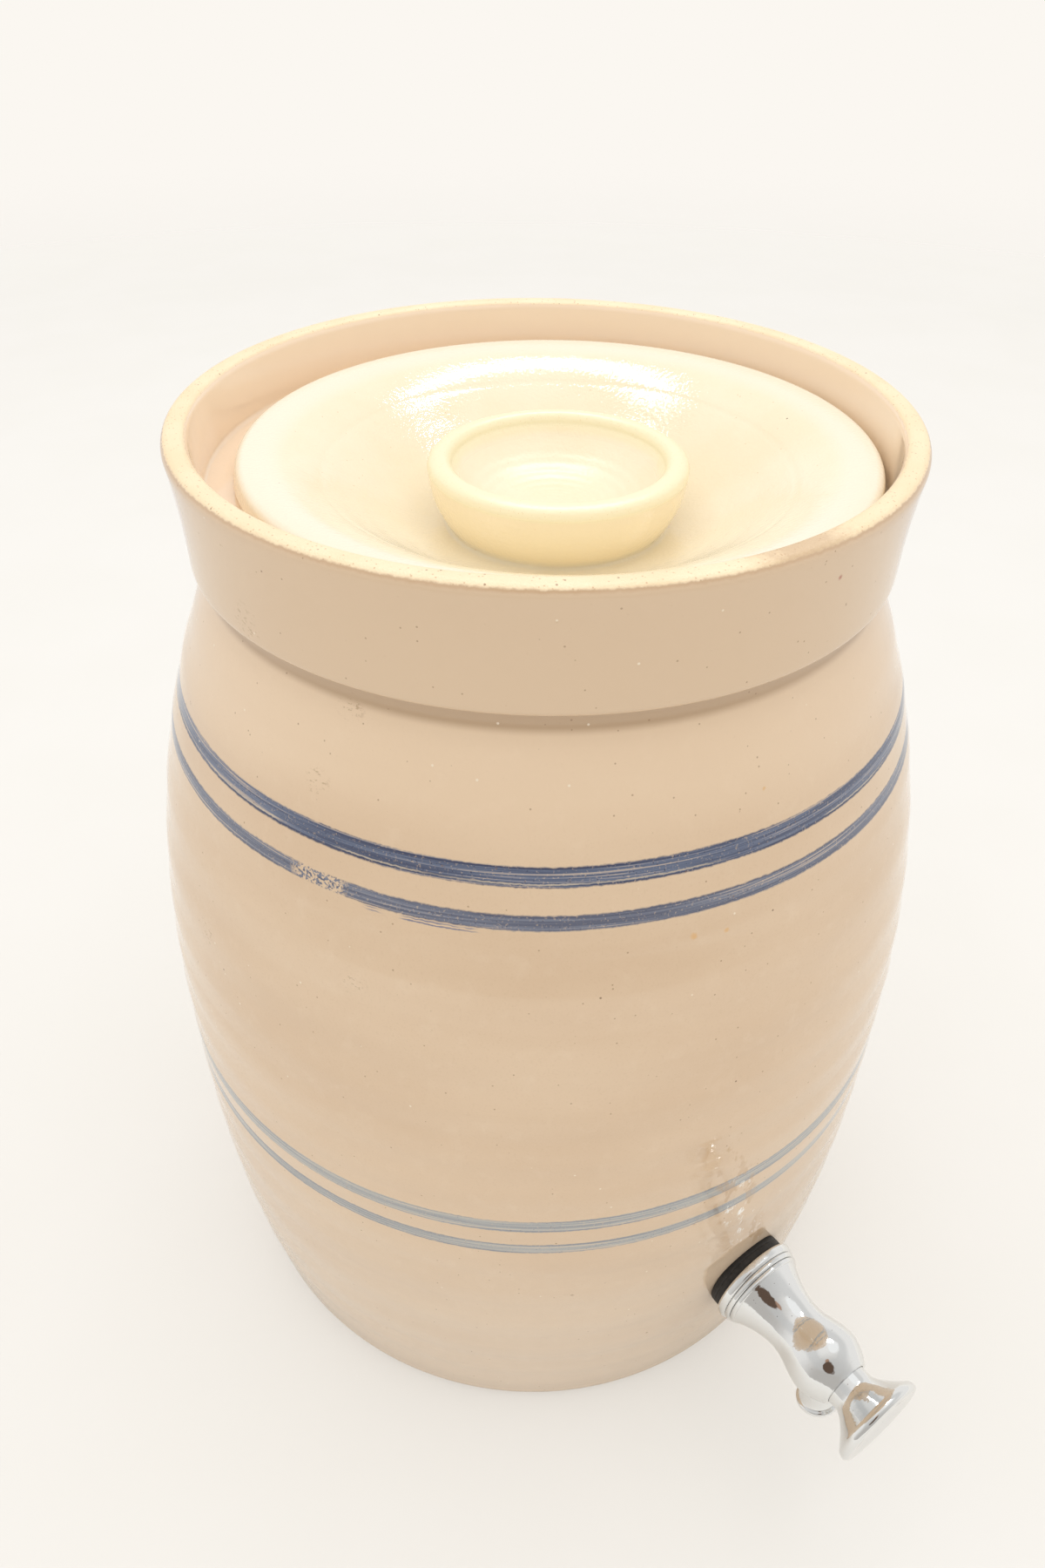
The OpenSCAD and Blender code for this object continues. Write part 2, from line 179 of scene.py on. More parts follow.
world = bpy.data.worlds.new("studio")
world.use_nodes = True
scene.world = world
backdrop = world.node_tree.nodes["Background"]
way = Shade(world.node_tree.nodes.new("ShaderNodeTexCoord").outputs["Generated"])


def seen(x, y, z):
    """Direction from the pot, given as the photographer sees it: right, ahead and up."""
    return (round_pot @ Vector((x, y, z))).normalized()


dot_product = {"operation": "DOT_PRODUCT"}
toward = way.node("VectorMath", dot_product, {0: way, 1: seen(0, -1, 0)}, 1)
skyward = way.axis("Z")
room = toward.rise(-0.1, 0.9).mix(tone(246, 244, 241), tone(194, 190, 185))
grey_ring = skyward.rise(0.35, 0.6) * skyward.rise(0.93, 0.80)
room = (grey_ring * 0.6).mix(room, tone(206, 206, 205))

# Discs in the room: direction of the middle, where the edge's fade starts and ends, and colour
discs = [
    (seen(0.30, 0.15, 0.93), 0.36, 0.26, tone(255, 255, 254)),
    (seen(-0.04, -0.54, 0.84), 0.12, 0.09, tone(178, 146, 126)),
    (seen(0.0, -0.75, 0.64), 0.27, 0.22, tone(98, 80, 68)),
]
for middle, outer, full, colour in discs:
    room = way.away(middle).rise(outer, full).mix(room, colour)
rays = world.node_tree.nodes.new("ShaderNodeLightPath")
lit = Shade(rays.outputs["Is Glossy Ray"]).mix(tone(244, 242, 239), room)
Shade(rays.outputs["Is Camera Ray"]).mix(lit, tone(251, 247, 241)).feed(backdrop, "Color")
backdrop.inputs["Strength"].default_value = 1.0

table_reach = 8.0
table_mesh = bpy.data.meshes.new("table")
signs = [(-1, -1), (1, -1), (1, 1), (-1, 1)]
corners = [(x * table_reach, y * table_reach, 0) for x, y in signs]
table_mesh.from_pydata(corners, [], [(0, 1, 2, 3)])
table = bpy.data.objects.new("table", table_mesh)
scene.collection.objects.link(table)


def new_finish(name):
    """A material, its shader and the Object coordinates of its piece."""
    material = bpy.data.materials.new(name)
    material.use_nodes = True
    shader = material.node_tree.nodes["Principled BSDF"]
    place = Shade(material.node_tree.nodes.new("ShaderNodeTexCoord").outputs["Object"])
    return material, shader, place


table_white, paint, place = new_finish("table_white")
table_mesh.materials.append(table_white)
place.noise(9).rise(0.3, 0.7).mix(tone(241, 240, 236), tone(243, 242, 239)).feed(paint, "Base Color")
paint.inputs["Roughness"].default_value = 0.85
paint.inputs["Specular IOR Level"].default_value = 0.2

# The table fades out far from the pot, the camera sees partly through it to the pale backdrop,
# and in reflections it ends nearer, which gives the horizon that the glaze mirrors
clear = table_white.node_tree.nodes.new("ShaderNodeBsdfTransparent")
rays = table_white.node_tree.nodes.new("ShaderNodeLightPath")
by_camera, by_gloss = Shade(rays.outputs["Is Camera Ray"]), Shade(rays.outputs["Is Glossy Ray"])
from_pot = place.away((0, 0, 0))
fade = from_pot.rise(0.7, 2.2).most(by_camera * 0.42)
fade = fade.most(from_pot.rise(0.58, 0.68) * by_gloss)
edge = fade.node("MixShader", {}, {0: fade})
for source, slot in ((paint, 1), (clear, 2)):
    table_white.node_tree.links.new(source.outputs[0], edge.socket.node.inputs[slot])
edge.feed(table_white.node_tree.nodes["Material Output"], "Surface")


def hang_lamp(name, offset, turned, size_x, size_y, radiance, mirrored):
    """Area lamp at an offset as the photographer sees it: right, ahead and up. It faces the pot,
    and its long side is turned by an angle in degrees from the photographer's left to right.
    A mirrored lamp shows in reflections only, and any other only lights the scene."""
    lamp = bpy.data.objects.new(name, bpy.data.lights.new(name, "AREA"))
    lamp.data.shape = "RECTANGLE"
    lamp.data.size, lamp.data.size_y = size_x, size_y
    lamp.data.energy = radiance * math.pi * size_x * size_y
    spot = round_pot @ Vector(offset)
    pot_top = Vector((0, 0, 0.3))
    aim = (spot - pot_top).to_track_quat("Z", "Y").to_matrix().to_4x4()
    aim @= Matrix.Rotation(math.radians(turned) + math.atan2(offset[0], offset[1]), 4, "Z")
    lamp.matrix_world = Matrix.Translation(spot) @ aim
    lamp.visible_glossy = mirrored
    lamp.visible_diffuse = not mirrored
    scene.collection.objects.link(lamp)


# The two strips make the bent highlight in the lid's dish
hang_lamp("overhead", (0, 0.1, 1.7), 0, 2.0, 2.0, 0.75, False)
hang_lamp("strip", (0.21, 0.51, 1.4), 4, 0.66, 0.13, 24.0, True)
hang_lamp("strip_end", (-0.23, 0.39, 1.4), 39, 0.34, 0.13, 24.0, True)


# ---------------------------------------------------------------------------------------------
# The crock: thrown in buff stoneware, its collar turned and its inner ledge cut on the wheel,
# banded with cobalt, then dipped in clear glaze and wiped bare on the rim. The tap's hole was
# drilled, and flats were ground round it for the gaskets.
# ---------------------------------------------------------------------------------------------
pot_h, belly_r, belly_z, foot_r, foot_round = 330.0, 127.0, 140.0, 115.2, 6.0
neck_r, neck_z, wall, floor_t, floor_round = 97.5, 290.0, 9.0, 12.0, 18.0
collar_low_r, collar_z, collar_round, rim_r, rim_in_r, rim_round = 101.0, 295.4, 2.0, 103.3, 96.3, 2.6
gallery_r, gallery_round, ledge_z, ledge_r, ledge_round, under_ledge_z = 94.9, 1.5, 313.0, 82.9, 1.8, 304.0


def wall_r(z):
    """Outer radius at height z: a power curve below the belly, another above it."""
    below = belly_r - (belly_r - foot_r) * (np.clip(belly_z - z, 0, None) / belly_z) ** 2.5
    over = belly_r - (belly_r - neck_r) * (np.clip(z - belly_z, 0, None) / (neck_z - belly_z)) ** 2.3
    return np.where(z < belly_z, below, over)


def ease(t):
    """Step from 0 to 1 that is level at both ends: half a cosine wave."""
    return (1 - np.cos(np.pi * t)) / 2


def oval(r, z, wide, tall, start, end, count=9):
    """Points on part of an ellipse round (r, z), from one angle in degrees to another."""
    turn = np.radians(np.linspace(start, end, count))
    return np.stack([r + wide * np.cos(turn), z + tall * np.sin(turn)], 1)


def run(r, z):
    """Points from two arrays, or an array and a number."""
    return np.stack(np.broadcast_arrays(np.asarray(r, float), np.asarray(z, float)), 1)


def lathe(profile, steps, warp=None, ring=False):
    """Surface of revolution: points (r, z) of the profile carried round Z. The profile runs with
    the solid on its left. warp(turn, r, z) gives what is added to r and z at each point. A ring's
    profile closes on itself, and any other starts and ends on the axis, at one point each."""
    turn = np.linspace(0, 2 * np.pi, steps, endpoint=False)[None, :]
    r, z = profile[:, :1] + 0 * turn, profile[:, 1:] + 0 * turn
    if warp:
        more_r, more_z = warp(turn, r, z)
        r, z = r + more_r, z + more_z
    grid = np.stack([r * np.cos(turn), r * np.sin(turn), z], 2) / 1000
    rows = len(profile) if ring else len(profile) - 2
    index = np.arange(rows * steps).reshape(rows, steps)
    if ring:
        index = np.vstack([index, index[:1]])
    beside = np.roll(index, -1, 1)
    faces = np.stack([index[:-1], beside[:-1], beside[1:], index[1:]], 2).reshape(-1, 4).tolist()
    if ring:
        return grid.reshape(-1, 3), faces
    ends = rows * steps + np.zeros((2, steps), int) + [[0], [1]]
    faces += np.stack([ends[0], beside[0], index[0]], 1).tolist()
    faces += np.stack([index[-1], beside[-1], ends[1]], 1).tolist()
    return np.vstack([grid[1:-1].reshape(-1, 3), grid[0, :1], grid[-1, :1]]), faces


def make_piece(name, surface, material=None, frame_of=None, sharp=40):
    """Object at the origin from points and faces, which a frame may first carry to their place.
    Its edges are sharp above an angle in degrees."""
    points, faces = surface
    mesh = bpy.data.meshes.new(name)
    mesh.from_pydata(points.tolist(), [], faces)
    if frame_of:
        mesh.transform(frame_of)
    mesh.shade_smooth()
    mesh.set_sharp_from_angle(angle=math.radians(sharp))
    piece = bpy.data.objects.new(name, mesh)
    scene.collection.objects.link(piece)
    if material:
        mesh.materials.append(material)
    return piece


def cut_with(piece, tool, operation, sharp=40):
    """Cuts or joins another closed piece, which is then deleted, and keeps the result."""
    change = piece.modifiers.new("cut", "BOOLEAN")
    change.operation, change.object, change.solver = operation, tool, "EXACT"
    result = piece.evaluated_get(bpy.context.evaluated_depsgraph_get())
    done = bpy.data.meshes.new_from_object(result)
    piece.modifiers.clear()
    piece.data = done
    bpy.data.objects.remove(tool)
    done.shade_smooth()
    done.set_sharp_from_angle(angle=math.radians(sharp))


up_wall = np.linspace(foot_round, neck_z, 122)[1:]
down_wall = np.linspace(neck_z, floor_t + floor_round, 70)[1:]
drop = np.linspace(0, 1, 9)
face = np.linspace(0, 1, 14)[1:-1]
foot_edge_r, floor_edge_r = wall_r(foot_round), wall_r(floor_t + floor_round) - wall
face_low_z, face_high_z = collar_z + collar_round, pot_h - rim_round
neck_groove = [
    [neck_r - 0.1, neck_z + 1.6],
    [neck_r - 0.1, neck_z + 3.2],
    [neck_r + 0.3, collar_z - 0.6],
    [neck_r + 0.9, collar_z],
]
crock_profile = np.vstack(
    [
        run(np.linspace(0, foot_edge_r - foot_round - 8, 6), 0),
        oval(foot_edge_r - foot_round, foot_round, foot_round, foot_round, -90, 0, 9),
        run(wall_r(up_wall), up_wall),
        neck_groove,
        oval(collar_low_r - collar_round, face_low_z, collar_round, collar_round, -90, 0, 9),
        run(
            collar_low_r + (rim_r - collar_low_r) * face - 0.6 * np.sin(np.pi * face),
            face_low_z + (face_high_z - face_low_z) * face,
        ),
        oval(rim_r - rim_round, face_high_z, rim_round, rim_round, 0, 90, 10),
        oval(rim_in_r + rim_round, face_high_z, rim_round, rim_round, 90, 180, 10),
        run(
            np.linspace(rim_in_r, gallery_r, 9)[1:],
            np.linspace(face_high_z, ledge_z + gallery_round, 9)[1:],
        ),
        oval(gallery_r - gallery_round, ledge_z + gallery_round, gallery_round, -gallery_round, 20, 90, 5),
        oval(ledge_r + ledge_round, ledge_z - ledge_round, ledge_round, ledge_round, 90, 180, 8),
        run(
            ledge_r + (neck_r - wall - ledge_r) * ease(drop),
            under_ledge_z + (neck_z - under_ledge_z) * drop,
        ),
        run(wall_r(down_wall) - wall, down_wall),
        oval(floor_edge_r - floor_round, floor_t + floor_round, floor_round, floor_round, 0, -90, 14)[1:],
        run(np.linspace(floor_edge_r - floor_round - 13, 0, 6), floor_t),
    ]
)


def thrown(turn, r, z):
    """Throwing marks: shallow rings that climb the wall as a spiral, slightly uneven round it,
    on a wall that is a little out of true. None on the base, the ledge or round the tap."""
    on_wall = ease(np.clip((z - floor_t) / 25, 0, 1)) * ease(np.clip((neck_z - 2 - z) / 20, 0, 1))
    outside = r > wall_r(z) - wall / 2
    lap = turn / (2 * np.pi)
    coarse = 0.16 * np.sin(2 * np.pi * (z / 19 + lap) + 0.8 * np.sin(z / 23))
    fine = 0.05 * np.sin(2 * np.pi * (z / 6.3 + lap) + 1.3 * np.sin(z / 11))
    tap_turn, tap_reach = 1.5 * np.pi, 26
    near_tap = np.exp(-(((turn - tap_turn) * r) ** 2 + (z - tap_z) ** 2) / tap_reach**2)
    swell = 0.18 * np.cos(2 * turn + 0.6) * on_wall
    inside = 0.25 * np.sin(2 * np.pi * (z / 11 + lap))
    marks = np.where(outside, coarse + fine, inside) * on_wall * (1 - near_tap)
    return marks + np.where(outside, swell, 0) * (1 - near_tap) - 0.1 * on_wall, 0 * z


# The tap's own frame: its +Z runs out along the tap, which droops with the wall's slope
tap_droop, tap_z, flat_y, grip = math.radians(4), 62.0, 123.357, 7.892
tap_tilt = Matrix.Rotation(math.radians(90) + tap_droop, 4, "X")
tap_frame = Matrix.Translation((0, -flat_y / 1000, tap_z / 1000)) @ tap_tilt

crock = make_piece("stoneware_crock", lathe(crock_profile, 288, thrown), sharp=50)
tap_hole_r, outer_flat_r, inner_flat_r, drill_in, drill_out = 8.9, 15.5, 14.8, -40, 12
drill = np.array(
    [
        [0, drill_in],
        [inner_flat_r, drill_in],
        [inner_flat_r, -grip],
        [tap_hole_r, -grip],
        [tap_hole_r, 0],
        [outer_flat_r, 0],
        [outer_flat_r, drill_out],
        [0, drill_out],
    ]
)
cut_with(crock, make_piece("drill", lathe(drill, 72), frame_of=tap_frame), "DIFFERENCE", 50)

glaze, clay, place = new_finish("banded_glaze")
height, ragged = place.axis("Z"), place.noise(620, 3)
flow, streak = place.stretch(1, 1, 3).noise(9, 3), place.stretch(14, 14, 1300).noise(1, 3, 0.7)
buff = flow.rise(0.3, 0.7).mix(tone(216, 188, 157), tone(223, 197, 167))
buff = (place.stretch(9, 9, 150).noise(1, 3).rise(0.4, 0.8) * 0.16).mix(buff, tone(210, 180, 147))
buff = (place.noise(160, 4, 0.6).rise(0.5, 0.8) * 0.22).mix(buff, tone(233, 212, 186))
buff = (place.noise(1400, 2).rise(0.5, 0.75) * 0.18).mix(buff, tone(203, 174, 142))
# Painted light: the shoulder is painted lighter where it faces the overhead lamp
buff = (height.rise(0.255, 0.275) * 0.6).mix(buff, tone(237, 212, 182))
# Painted reflection: the lower body is painted whiter, where the glaze mirrors the white table
buff = (height.rise(0.150, 0.020) * 0.55).mix(buff, tone(225, 209, 190))
# Painted shadow under the collar, in the groove beneath its overhang
collar_shadow = height.rise(0.2883, 0.2908) * height.rise(0.2962, 0.2948)
buff = (collar_shadow * 0.6).mix(buff, tone(160, 128, 94))
buff = (height.rise(0.2952, 0.2962) * 0.7).mix(buff, tone(212, 185, 154))

# Brushed bands: height of the middle, half width, paint, its deeper tone and how thick it lies
bands = [
    (0.2559, 0.0027, tone(102, 116, 142), tone(42, 55, 88), 0.97),
    (0.2441, 0.0020, tone(116, 126, 146), tone(60, 72, 100), 0.94),
    (0.1310, 0.0025, tone(178, 182, 180), tone(122, 134, 148), 0.86),
    (0.1188, 0.0023, tone(176, 180, 179), tone(112, 126, 142), 0.86),
]
sway = (place.stretch(9, 9, 2).noise(1, 2) - 0.5) * 0.0028 + (ragged - 0.5) * 0.0007
worn = (place.away((-0.1038, -0.0453, 0.2450)) + ragged * 0.003).rise(0.0115, 0.0080)
worn = worn * height.rise(0.2495, 0.2485)

# The paint lies on the outer face only: a cone that runs inside the wall divides the two faces
radius = place.stretch(1, 1, 0).away((0, 0, 0))
outside = (radius + height * 0.116).rise(0.1360, 0.1370)
kept = outside * (1 - worn * place.noise(1300, 2).rise(0.42, 0.56))
for middle, half, cobalt, deep, thick in bands:
    offset = height - middle + sway
    cover = abs(offset).rise(half + 0.0003, half - 0.0003)
    load = streak.rise(0.62, 0.38) * 0.8 + abs(offset).rise(half * 0.5, half) * 0.3
    load = load.most(place.grains(1250, 0.32, 0.30))
    bare_line = streak.rise(0.56, 0.66) * 0.55 + place.noise(1500, 2).rise(0.58, 0.72) * 0.35
    buff = (cover * kept * (1 - bare_line) * thick).mix(buff, load.mix(cobalt, deep))

# Where the brush spread, hairs left lines below the second band and parted the first one
strands = place.away((-0.0893, -0.0704, 0.2420)).rise(0.0190, 0.0110) * 0.8
for middle in (0.2408, 0.2416):
    hair = abs(height - middle + sway).rise(0.0003, 0.0001) * place.noise(90, 2).rise(0.4, 0.55)
    buff = (hair * strands).mix(buff, tone(96, 108, 140))
parting = abs(height - 0.2541 + sway).rise(0.0003, 0.0001) * place.noise(40, 2).rise(0.42, 0.55)
buff = (parting * outside * 0.7).mix(buff, tone(206, 190, 168))

# Marks of the firing: iron specks of two sizes, pale pinholes, and rubbed patches and larger
# spots at listed places
buff = (place.grains(430, 0.15, 0.13) * 0.5).mix(buff, tone(132, 98, 68))
buff = (place.grains(170, 0.07, 0.10) * 0.75).mix(buff, tone(112, 82, 58))
buff = (place.grains(300, 0.13, 0.05) * 0.7).mix(buff, tone(244, 232, 212))
scuffs = [
    ((-0.1231, -0.0039, 0.2017), 0.0060),
    ((-0.1048, -0.0595, 0.2172), 0.0050),
    ((-0.1005, -0.0131, 0.3017), 0.0070),
    ((-0.0887, -0.0419, 0.2883), 0.0050),
    ((-0.0987, -0.0390, 0.2688), 0.0050),
    ((-0.0293, -0.1233, 0.1180), 0.0030),
]
for middle, reach in scuffs:
    patchy = place.stretch(1, 1, 2).noise(520, 4, 0.7).rise(0.54, 0.64)
    rub = place.away(middle).rise(reach, reach * 0.3) * patchy
    buff = (rub * 0.5).mix(buff, tone(158, 128, 92))
iron, rust, red = tone(138, 104, 70), tone(222, 176, 118), tone(164, 70, 44)
spots = [
    ((-0.0348, -0.1110, 0.2358), 0.0011, rust),
    ((-0.0258, -0.1137, 0.2348), 0.0009, rust),
    ((-0.0106, -0.1056, 0.2686), 0.0006, rust),
    ((0.0079, -0.1024, 0.3194), 0.0010, red),
    ((-0.0598, -0.0834, 0.3215), 0.0002, iron),
    ((-0.0649, -0.1080, 0.0903), 0.0006, iron),
    ((-0.0374, -0.1171, 0.0489), 0.0005, iron),
]
for middle, reach, stain in spots:
    blot = (place.away(middle) + ragged * 0.0012).rise(reach + 0.0008, reach)
    buff = (blot * 0.75).mix(buff, stain)

# Painted reflection of the chrome tap in the glaze, in a slanting column above it: tan smears and white
# glints
lean = abs(place.axis("X") + height * 0.33 - 0.0251) + (place.noise(120, 2) - 0.5) * 0.012
tap_reflection_column = lean.rise(0.0090, 0.0040) * place.axis("Y").rise(0, -0.1) * height.rise(0.078, 0.084)
tan_tap_reflection = place.stretch(1, 1, 0.5).noise(210, 3).rise(0.54, 0.60) * height.rise(0.164, 0.150)
buff = (tap_reflection_column * tan_tap_reflection * 0.45).mix(buff, tone(190, 154, 114))
# Painted glints: white specks in the tap's painted reflection
scale = place.stretch(1, 1, 0.6).noise(300, 4, 0.7).rise(0.57, 0.66) * height.rise(0.138, 0.124)
buff = (tap_reflection_column * scale * 0.9).mix(buff, tone(252, 249, 243))

# The rim, wiped bare: gritty, with a brown edge where the glaze begins and a smudge at the front
edge_z = height + (ragged - 0.5) * 0.0007
bare = edge_z.rise(0.3289, 0.3295)
fringe = edge_z.rise(0.3281, 0.3290) * (1 - bare)
rim = place.noise(60, 3).rise(0.3, 0.7).mix(tone(248, 223, 183), tone(252, 230, 193))
rim = (place.grains(1100, 0.34, 0.30) * 0.5).mix(rim, tone(190, 142, 92))
rim = (place.grains(420, 0.16, 0.30) * 0.7).mix(rim, tone(140, 98, 62))
smudge = (place.away((-0.0040, -0.0990, 0.3300)) + ragged * 0.012).rise(0.024, 0.010)
rim = (smudge * 0.45).mix(rim, tone(168, 122, 78))
buff = (fringe * 0.35).mix(buff, tone(176, 132, 88))

# The gallery inside the rim is painted paler than the outside, a painted light that lifts the shade inside
# the rim
inner = radius.rise(0.0985, 0.0975) * height.rise(0.300, 0.306)
buff = (inner * 0.9).mix(buff, tone(251, 229, 203))
bare.mix(buff, rim).feed(clay, "Base Color")
clay.inputs["IOR"].default_value = 1.6
(0.04 + ragged * 0.03 + bare * 0.5).feed(clay, "Roughness")
pits = place.grains(700, 0.14, 0.12)
skin = (place.noise(260, 2) * 0.30 + place.noise(1100, 2) * 0.06 - pits * 0.4).bump(0.00009)
(bare * place.noise(2200, 2)).bump(0.00018, skin).feed(clay, "Normal")
crock.data.materials.clear()
crock.data.materials.append(glaze)
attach(crock, "pot")
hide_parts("crock")

# ---------------------------------------------------------------------------------------------
# The lid: one thrown and turned piece, a deep dish with a level band at its edge and a hollow
# ring knob in the middle, glazed cream. It lies loose on the ledge, a little off centre.
# ---------------------------------------------------------------------------------------------
lid_r, lid_z, lid_top, plug_r, dish_z = 90.1, 313.3, 320.3, 78.1, 296.3
dish_out_r, dish_in_r, dish_depth, lid_t, lid_round = 86.1, 32.3, 24.0, 8.0, 2.6
knob_r, knob_foot_r, knob_in_r, knob_edge_z, hollow_z = 37.0, 31.5, 30.4, 313.6, 301.3
knob_lip, knob_foot_z, knob_top = 6.6, dish_z + 1, 316.3
lid_x, lid_y = 0.003152, -0.002463
lid_middle = Matrix.Translation((lid_x, lid_y, 0))


def dish(r):
    """Height of the dish: level at the knob and at the band, with half a cosine wave between."""
    return lid_top - dish_depth * ease((dish_out_r - r) / (dish_out_r - dish_in_r))


across_dish = np.linspace(dish_out_r, dish_in_r + 0.3, 72)
under_dish = np.linspace(dish_in_r, plug_r - 4, 40)
climb = np.linspace(0, 1, 22)
sink = 1 - np.linspace(0, 1, 62)[1:]
lip_middle_r, lip_out_z, lip_in_z = knob_r - 0.62 * knob_lip, knob_edge_z + 0.4, knob_edge_z - 0.2
lid_profile = np.vstack(
    [
        run(np.linspace(0, dish_in_r - 1, 6), dish_z - lid_t),
        run(under_dish, dish(under_dish) - lid_t),
        [[plug_r - 1.2, lid_z - 1.6], [plug_r - 0.3, lid_z - 0.5], [plug_r + 0.6, lid_z]],
        oval(lid_r - lid_round, lid_z + lid_round, lid_round, lid_round, -90, 0, 9),
        oval(lid_r - lid_round - 0.6, lid_top - lid_round, lid_round, lid_round, 0, 90, 12),
        run(across_dish, dish(across_dish)),
        [[dish_in_r - 0.3, dish_z + 0.15], [knob_foot_r + 0.15, dish_z + 0.55]],
        run(
            knob_r - (knob_r - knob_foot_r) * (1 - climb) ** 2.2,
            knob_foot_z + (knob_edge_z - knob_foot_z) * climb,
        ),
        oval(lip_middle_r, lip_out_z, 0.6 * knob_lip, knob_top - lip_out_z, 8, 90, 12),
        oval(lip_middle_r, lip_in_z, 0.38 * knob_lip, knob_top - lip_in_z, 98, 180, 12),
        run(knob_in_r * sink, hollow_z + (lip_in_z - hollow_z) * sink**3.6),
    ]
)


def turned(turn, r, z):
    """Marks of the potter's fingers: a spiral in the knob's hollow, faint rings across the dish,
    and a slight ridge below the knob's lip, which returns at that height on the dish's slope."""
    lap = turn / (2 * np.pi)
    spiral_r = 27.5
    in_hollow = (r < spiral_r) & (z < 312) & (z > 300)
    spiral = 0.07 * np.sin(2 * np.pi * (r / 3.1 - lap)) * ease(np.clip(r / 6, 0, 1)) * in_hollow
    spiral *= ease(np.clip((spiral_r - r) / 5, 0, 1))
    on_dish = (z > 296.2) & (r > 33) & (z > dish(np.clip(r, dish_in_r, dish_out_r)) - 1)
    rings = 0.025 * np.sin(2 * np.pi * (r / 7.4 - lap)) * on_dish * ease(np.clip((84 - r) / 8, 0, 1))
    ridge_z, inside_lip_r = knob_edge_z - 0.3, 34
    ridge = 0.3 * np.exp(-(((z - ridge_z) / 0.4) ** 2)) * (r > inside_lip_r)
    return ridge, np.where(in_hollow, spiral, rings * ease(np.clip((r - 38) / 8, 0, 1)))


lid = make_piece("stoneware_lid", lathe(lid_profile, 288, turned), frame_of=lid_middle, sharp=60)
cream, clay, place = new_finish("cream_glaze")
height = place.axis("Z")
out = place.away((lid_x, lid_y, 0.3))
base = place.noise(26, 4, 0.6).rise(0.3, 0.72).mix(tone(246, 233, 203), tone(249, 238, 212))
base = (place.grains(460, 0.12, 0.14) * 0.5).mix(base, tone(206, 160, 104))
base = (place.grains(150, 0.06, 0.10) * 0.8).mix(base, tone(110, 84, 60))
on_knob = out.rise(0.042, 0.038) * height.rise(0.2975, 0.3000)
base = (on_knob * out.rise(0.0300, 0.0320) * 0.8).mix(base, tone(252, 236, 200))
lip = height.rise(0.3118, 0.3136) * out.rise(0.042, 0.039)
base = (lip * 0.85).mix(base, tone(250, 241, 205))
base = (lip * place.grains(1500, 0.3, 0.35) * 0.35).mix(base, tone(226, 192, 136))
# Painted light: the level band at the lid's edge is painted paler, as it faces straight up to the lamps
band = height.rise(0.3180, 0.3200)
(band * 0.8).mix(base, tone(247, 239, 220)).feed(clay, "Base Color")
hollow = out.rise(0.0310, 0.0290)
(0.04 + place.noise(300, 2) * 0.05 + (lip + hollow) * 0.3).feed(clay, "Roughness")
(place.noise(420, 3, 0.6) * 0.55 + place.noise(900, 2) * 0.65).bump(0.00014).feed(clay, "Normal")
lid.data.materials.append(cream)
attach(lid, "lid")
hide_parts("lid")

# ---------------------------------------------------------------------------------------------
# The tap: one brass casting, turned, bored and chrome plated. Threaded shank, flange with two
# beads, a waist, a bulb with the spout below it, and the mouth that the button slides in.
# ---------------------------------------------------------------------------------------------
shank_s, shank_r, shank_bore_r, gasket_t, thread_pitch = -22.892, 7.9, 5.6, 4.5, 1.41
flange_r, flange_t, bead_step, bead_t, bell_r = 16.3, 3.2, 0.7, 1.7, 14.2
bead_1_s = gasket_t + flange_t
bead_2_s = bead_1_s + bead_t
bell_s = bead_2_s + bead_t
waist_r, waist_s, bulb_r, bulb_s, mouth_r, mouth_s = 9.8, 25.0, 12.6, 39.0, 9.2, 48.0
seat_s, orifice_s, orifice_r, chamber_r, gland_s, mouth_bore_r = 14.0, 16.0, 3.6, 6.5, 41.6, 7.9
spout_s, spout_lean, spout_len, spout_r, spout_root_r, spout_bore_r = 34.8, 18, 25.0, 6.1, 8.6, 3.9


def bead(start, thick, r):
    """One rounded step of the flange: a groove, then a bead of a thickness from start."""
    c = 0.3 * thick
    return np.vstack(
        [
            [[r - 0.5 - c, start], [r - c, start]],
            oval(r - c, start + c, c, c, -80, 0, 7),
            oval(r - c, start + thick - c, c, c, 0, 90, 8),
            [[r - 0.5 - c, start + thick]],
        ]
    )


fall, swell = np.linspace(0, 1, 26), np.linspace(0, 1, 30)[1:]
shank_rows = np.linspace(shank_s + 0.8, -0.4, 90)
casting_profile = np.vstack(
    [
        [[shank_bore_r, shank_s], [shank_r - 0.8, shank_s]],
        run(shank_r, shank_rows),
        [[shank_r, gasket_t]],
        bead(gasket_t, flange_t, flange_r),
        bead(bead_1_s, bead_t, flange_r - bead_step),
        bead(bead_2_s, bead_t, flange_r - 2 * bead_step),
        run(waist_r + (bell_r - waist_r) * (1 - fall) ** 1.8, bell_s + (waist_s - bell_s) * fall),
        run(waist_r + (bulb_r - waist_r) * ease(swell), waist_s + (bulb_s - waist_s) * swell),
        run(
            mouth_r + (bulb_r - mouth_r) * np.cos(np.pi / 2 * swell[:-1]),
            bulb_s + (mouth_s - 0.3 - bulb_s) * swell[:-1],
        ),
        oval(mouth_r - 0.35, mouth_s - 0.35, 0.35, 0.35, 20, 90, 5),
        [[mouth_bore_r, mouth_s], [mouth_bore_r, gland_s], [chamber_r, gland_s]],
        [[chamber_r, orifice_s], [orifice_r, orifice_s], [orifice_r, seat_s], [shank_bore_r, seat_s]],
    ]
)


def threaded(turn, r, s):
    """A screw thread on the shank: a triangle wave along it, moved on by one pitch a turn."""
    phase = (s / thread_pitch - turn / (2 * np.pi)) % 1
    on_shank = (np.abs(r - shank_r) < 0.01) * (s < -0.5) * (s > shank_s + 1)
    return -0.75 * np.abs(2 * phase - 1) * on_shank, 0 * s


casting = lathe(casting_profile, 144, threaded, ring=True)
tap = make_piece("tap_casting", casting, frame_of=tap_frame, sharp=38)

